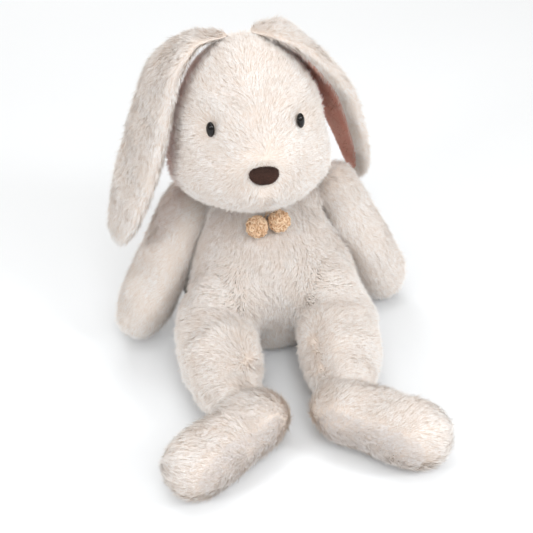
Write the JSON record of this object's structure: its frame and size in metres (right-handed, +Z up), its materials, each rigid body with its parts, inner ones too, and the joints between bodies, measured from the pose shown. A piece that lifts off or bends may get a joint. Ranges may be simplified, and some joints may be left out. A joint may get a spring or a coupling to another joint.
{
  "type": "plush rabbit",
  "caption": "Seated long-eared plush rabbit with floppy lined ears, hanging arms, forward legs, large soft feet and two pompoms under its chin.",
  "frame": {"origin": "middle of the flat seat that it rests on", "axes": "+Z up, -Y the way the body faces, +X towards the side its nose turns to"},
  "size_m": [0.2342, 0.3143, 0.2421],
  "materials": {
    "fur": "soft white plush pile, brushed",
    "sole": "shorter white pile",
    "lining": "salmon pink short velvet pile",
    "pompom": "tan boucle loops",
    "thread": "twisted thread",
    "stuffing": "polyester fibre fill",
    "eye": "polished black",
    "nose": "flocked dark brown",
    "washer": "moulded natural"
  },
  "bodies": {
    "torso": {"torso_skin": "fur", "torso_stuffing": "stuffing", "tail_pompom": "fur", "pompom_knot": "thread"},
    "neck": {"neck_stuffing": "stuffing"},
    "head": {"head_skin": "fur", "head_stuffing": "stuffing", "eye_left": "eye", "eye_right": "eye", "nose": "nose", "eye_left_washer": "washer", "eye_right_washer": "washer", "nose_washer": "washer"},
    "ear_left": {"ear_left_back": "fur", "ear_left_lining": "lining"},
    "arm_left": {"arm_left_skin": "fur", "arm_left_stuffing": "stuffing"},
    "leg_left": {"leg_left_skin": "fur", "leg_left_stuffing": "stuffing"},
    "foot_left": {"foot_left_skin": "fur", "foot_left_stuffing": "stuffing", "foot_left_sole": "sole"},
    "pompom_left": {"pompom_left": "pompom", "pompom_left_thread": "thread"},
    "ear_right": {"ear_right_back": "fur", "ear_right_lining": "lining"},
    "arm_right": {"arm_right_skin": "fur", "arm_right_stuffing": "stuffing"},
    "leg_right": {"leg_right_skin": "fur", "leg_right_stuffing": "stuffing"},
    "foot_right": {"foot_right_skin": "fur", "foot_right_stuffing": "stuffing", "foot_right_sole": "sole"},
    "pompom_right": {"pompom_right": "pompom", "pompom_right_thread": "thread"}
  },
  "joints": [
    {"name": "head_turn", "type": "hinge", "parent": "torso", "child": "neck", "pos_m": [-0.006, 0.02, 0.114], "axis": [0, 0, 1], "range_deg": [-12, 30]},
    {"name": "head_nod", "type": "hinge", "parent": "neck", "child": "head", "pos_m": [-0.006, 0.02, 0.114], "axis": [1, 0, 0], "range_deg": [-7, 1.5]},
    {"name": "ear_left_lift", "type": "hinge", "parent": "head", "child": "ear_left", "pos_m": [-0.018, 0.016, 0.2365], "axis": [0, 1, 0], "range_deg": [0, 80]},
    {"name": "arm_left_swing", "type": "hinge", "parent": "torso", "child": "arm_left", "pos_m": [-0.06, 0.022, 0.1015], "axis": [-0.9701, 0.2425, 0], "range_deg": [-40, 35]},
    {"name": "leg_left_spread", "type": "hinge", "parent": "torso", "child": "leg_left", "pos_m": [-0.0505, -0.034, 0.032], "axis": [0, 0, -1], "range_deg": [-2, 15]},
    {"name": "foot_left_flex", "type": "hinge", "parent": "leg_left", "child": "foot_left", "pos_m": [-0.038, -0.139, 0.027], "axis": [0, 0, -1], "range_deg": [-6, 15]},
    {"name": "pompom_left_swing", "type": "hinge", "parent": "torso", "child": "pompom_left", "pos_m": [0, -0.0168, 0.107], "axis": [0, 1, 0], "range_deg": [0, 14]},
    {"name": "ear_right_lift", "type": "hinge", "parent": "head", "child": "ear_right", "pos_m": [-0.002, 0.02, 0.237], "axis": [0, -1, 0], "range_deg": [0, 80]},
    {"name": "arm_right_swing", "type": "hinge", "parent": "torso", "child": "arm_right", "pos_m": [0.055, 0.024, 0.1], "axis": [-0.9701, -0.2425, 0], "range_deg": [-6, 75]},
    {"name": "leg_right_spread", "type": "hinge", "parent": "torso", "child": "leg_right", "pos_m": [0.0455, -0.034, 0.032], "axis": [0, 0, 1], "range_deg": [-2, 15]},
    {"name": "foot_right_flex", "type": "hinge", "parent": "leg_right", "child": "foot_right", "pos_m": [0.042, -0.138, 0.027], "axis": [0, 0, 1], "range_deg": [-6, 15]},
    {"name": "pompom_right_swing", "type": "hinge", "parent": "torso", "child": "pompom_right", "pos_m": [0, -0.0168, 0.107], "axis": [0, -1, 0], "range_deg": [0, 14]}
  ]
}
